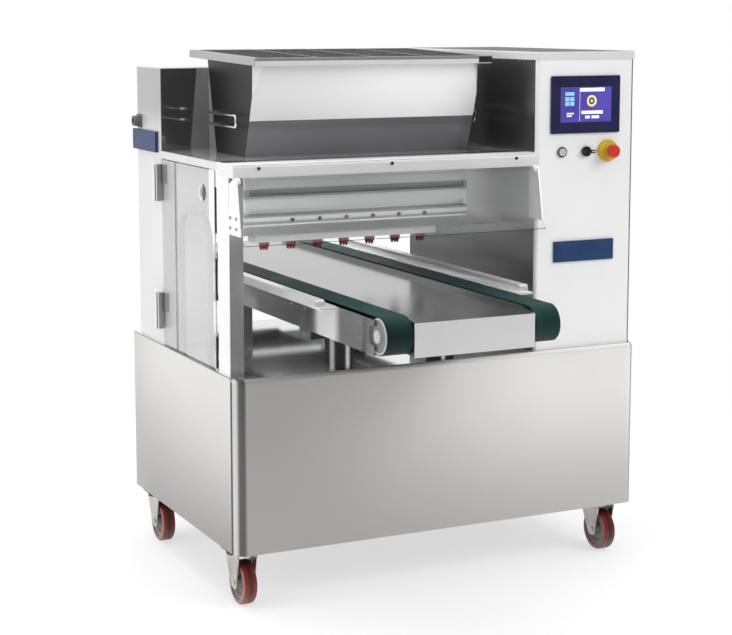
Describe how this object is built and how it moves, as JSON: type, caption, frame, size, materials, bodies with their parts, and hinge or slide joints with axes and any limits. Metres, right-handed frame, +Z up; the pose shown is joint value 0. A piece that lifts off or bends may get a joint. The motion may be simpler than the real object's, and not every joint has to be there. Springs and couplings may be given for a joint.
{
  "type": "dough depositor",
  "caption": "Free-standing dough depositor: hopper with safety grid, feed rollers and star nozzles over a two-belt tray conveyor, with control column, on castors.",
  "frame": {"origin": "on the floor, under the middle of the whole machine", "axes": "+Z up, the control column is at +X, the operator stands at -Y, trays run along Y"},
  "size_m": [1.344, 1.7598, 1.547],
  "materials": {
    "brushed_steel": "fine grain, satin",
    "polished_steel": "polished, near mirror",
    "frame_steel": "plain welded steel",
    "screw_steel": "bright stainless",
    "hinge_metal": "satin",
    "clear_sheet": "clear",
    "white_plastic": "satin white",
    "head_metal": "machined",
    "roller_steel": "fluted",
    "nozzle_red": "copper red",
    "belt_green": "smooth, satin",
    "drum_grey": "turned",
    "plate_blue": "plain",
    "bezel_navy": "fine satin",
    "screen_surface": "glossy",
    "button_silver": "satin chrome",
    "knob_black": "satin",
    "collar_yellow": "satin",
    "stop_red": "satin",
    "socket_dark": "satin",
    "zinc": "zinc plated",
    "hub_grey": "moulded",
    "tyre_red": "cast polyurethane"
  },
  "bodies": {
    "machine": {"arch_tube": "polished_steel", "base_chassis": "frame_steel", "base_front_panel": "brushed_steel", "base_panels": "polished_steel", "belts": "belt_green", "castor_plates": "zinc", "column_cap": "polished_steel", "column_front_panel": "brushed_steel", "control_column": "polished_steel", "conveyor_beams": "brushed_steel", "conveyor_pan": "brushed_steel", "conveyor_posts": "polished_steel", "deck_plate": "polished_steel", "drive_tower": "polished_steel", "estop_collar": "collar_yellow", "frame_screws": "screw_steel", "front_post": "polished_steel", "front_rail": "polished_steel", "head_block": "head_metal", "head_end_plates": "head_metal", "hinge_leaves": "hinge_metal", "hopper_handles": "polished_steel", "hopper_shell": "polished_steel", "lid_brackets": "brushed_steel", "nameplates": "plate_blue", "nozzle_bar": "head_metal", "nozzles": "nozzle_red", "rear_housing": "polished_steel", "screen_glass": "screen_surface", "side_socket": "socket_dark", "start_bezel": "button_silver", "top_plate": "polished_steel", "touch_screen": "bezel_navy", "tray_guides": "brushed_steel"},
    "door": {"door_stile": "polished_steel", "door_sheet": "clear_sheet", "door_pull": "white_plastic"},
    "guard": {"guard_sheet": "clear_sheet", "guard_cheeks": "white_plastic", "guard_screws": "screw_steel"},
    "lid": {"hopper_lid": "polished_steel"},
    "feed_front": {"feed_roller_front": "roller_steel"},
    "feed_rear": {"feed_roller_rear": "roller_steel"},
    "belt_roller_front": {"front_roller": "drum_grey"},
    "belt_roller_rear": {"rear_roller": "drum_grey"},
    "start": {"start_button": "button_silver"},
    "selector": {"selector_knob": "knob_black"},
    "emergency_stop": {"estop_button": "stop_red"},
    "castor_front_left": {"castor_fork_front_left": "zinc"},
    "wheel_front_left": {"castor_hub_front_left": "hub_grey", "castor_tyre_front_left": "tyre_red"},
    "castor_front_right": {"castor_fork_front_right": "zinc"},
    "wheel_front_right": {"castor_hub_front_right": "hub_grey", "castor_tyre_front_right": "tyre_red"},
    "castor_rear_left": {"castor_fork_rear_left": "zinc"},
    "wheel_rear_left": {"castor_hub_rear_left": "hub_grey", "castor_tyre_rear_left": "tyre_red"},
    "castor_rear_right": {"castor_fork_rear_right": "zinc"},
    "wheel_rear_right": {"castor_hub_rear_right": "hub_grey", "castor_tyre_rear_right": "tyre_red"}
  },
  "joints": [
    {"name": "door_hinge", "type": "hinge", "parent": "machine", "child": "door", "pos_m": [-0.658, 0.16, 0.95], "axis": [0, 0, -1], "range_deg": [0, 110]},
    {"name": "guard_hinge", "type": "hinge", "parent": "machine", "child": "guard", "pos_m": [-0.144, -0.43, 1.203], "axis": [-1, 0, 0], "range_deg": [0, 85]},
    {"name": "lid_hinge", "type": "hinge", "parent": "machine", "child": "lid", "pos_m": [-0.144, 0.2465, 1.53637], "axis": [-1, 0, 0], "range_deg": [0, 95]},
    {"name": "feed_front_turn", "type": "hinge", "parent": "machine", "child": "feed_front", "pos_m": [-0.144, -0.107, 1.179], "axis": [1, 0, 0], "continuous": true},
    {"name": "feed_rear_turn", "type": "hinge", "parent": "machine", "child": "feed_rear", "pos_m": [-0.144, -0.013, 1.179], "axis": [1, 0, 0], "continuous": true},
    {"name": "belt_rear_turn", "type": "hinge", "parent": "machine", "child": "belt_roller_rear", "pos_m": [-0.144, 0.829, 0.825], "axis": [1, 0, 0], "continuous": true},
    {"name": "belt_front_turn", "type": "hinge", "parent": "machine", "child": "belt_roller_front", "pos_m": [-0.144, -0.829, 0.825], "axis": [1, 0, 0], "continuous": true},
    {"name": "start_press", "type": "slide", "parent": "machine", "child": "start", "axis": [0, 1, 0], "range_m": [0, 0.003], "stiffness_N_per_m": 600, "springref_m": -0.002},
    {"name": "stop_press", "type": "slide", "parent": "machine", "child": "emergency_stop", "axis": [0, 1, 0], "range_m": [0, 0.006]},
    {"name": "selector_turn", "type": "hinge", "parent": "machine", "child": "selector", "pos_m": [0.489, -0.415, 1.248], "axis": [0, -1, 0], "range_deg": [0, 90]},
    {"name": "swivel_front_left", "type": "hinge", "parent": "machine", "child": "castor_front_left", "pos_m": [-0.604, -0.339, 0.148], "axis": [0, 0, 1], "continuous": true},
    {"name": "roll_front_left", "type": "hinge", "parent": "castor_front_left", "child": "wheel_front_left", "pos_m": [-0.604, -0.369, 0.0625], "axis": [1, 0, 0], "continuous": true},
    {"name": "swivel_front_right", "type": "hinge", "parent": "machine", "child": "castor_front_right", "pos_m": [0.592, -0.339, 0.148], "axis": [0, 0, 1], "continuous": true},
    {"name": "roll_front_right", "type": "hinge", "parent": "castor_front_right", "child": "wheel_front_right", "pos_m": [0.592, -0.369, 0.0625], "axis": [1, 0, 0], "continuous": true},
    {"name": "swivel_rear_left", "type": "hinge", "parent": "machine", "child": "castor_rear_left", "pos_m": [-0.604, 0.339, 0.148], "axis": [0, 0, 1], "continuous": true},
    {"name": "roll_rear_left", "type": "hinge", "parent": "castor_rear_left", "child": "wheel_rear_left", "pos_m": [-0.604, 0.309, 0.0625], "axis": [1, 0, 0], "continuous": true},
    {"name": "swivel_rear_right", "type": "hinge", "parent": "machine", "child": "castor_rear_right", "pos_m": [0.592, 0.339, 0.148], "axis": [0, 0, 1], "continuous": true},
    {"name": "roll_rear_right", "type": "hinge", "parent": "castor_rear_right", "child": "wheel_rear_right", "pos_m": [0.592, 0.309, 0.0625], "axis": [1, 0, 0], "continuous": true}
  ],
  "couplings": [
    {"joint": "feed_rear_turn", "follows": "feed_front_turn", "ratio": -1},
    {"joint": "belt_front_turn", "follows": "belt_rear_turn", "ratio": 1}
  ]
}
